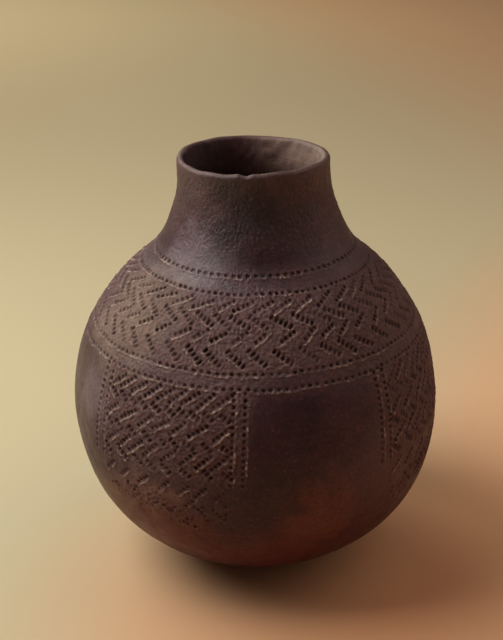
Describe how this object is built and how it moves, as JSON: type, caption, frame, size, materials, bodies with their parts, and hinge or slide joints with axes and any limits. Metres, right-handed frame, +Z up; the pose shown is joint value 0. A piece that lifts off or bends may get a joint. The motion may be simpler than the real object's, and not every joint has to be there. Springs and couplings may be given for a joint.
{
  "type": "pottery jar",
  "caption": "Round-bottomed hand-built clay jar with a short narrow neck, plain rounded rim and comb-stamped shoulder and belly panels, hollow for water or beer.",
  "frame": {"origin": "centre of the flat spot that the jar rests on, at its lowest face", "axes": "+Z up along the jar's axis through its mouth; -Y is the side that faces the camera"},
  "size_m": [0.26, 0.26, 0.2976],
  "materials": {
    "base_clay": "burnished red-brown low-fired clay",
    "belly_clay": "burnished dark brown low-fired clay with fire-clouds",
    "shoulder_clay": "comb-stamped dark low-fired clay with dust on its ridges",
    "neck_clay": "smoothed near-black low-fired clay",
    "rim_clay": "worn dark low-fired clay"
  },
  "bodies": {
    "root": {"base_bowl": "base_clay", "belly_coil_1": "belly_clay", "belly_coil_2": "belly_clay", "belly_coil_3": "belly_clay", "belly_coil_4": "belly_clay", "belly_coil_5": "belly_clay", "shoulder_coil_1": "shoulder_clay", "shoulder_coil_2": "shoulder_clay", "neck_coil_1": "neck_clay", "neck_coil_2": "neck_clay", "rim_coil": "rim_clay"}
  },
  "joints": []
}
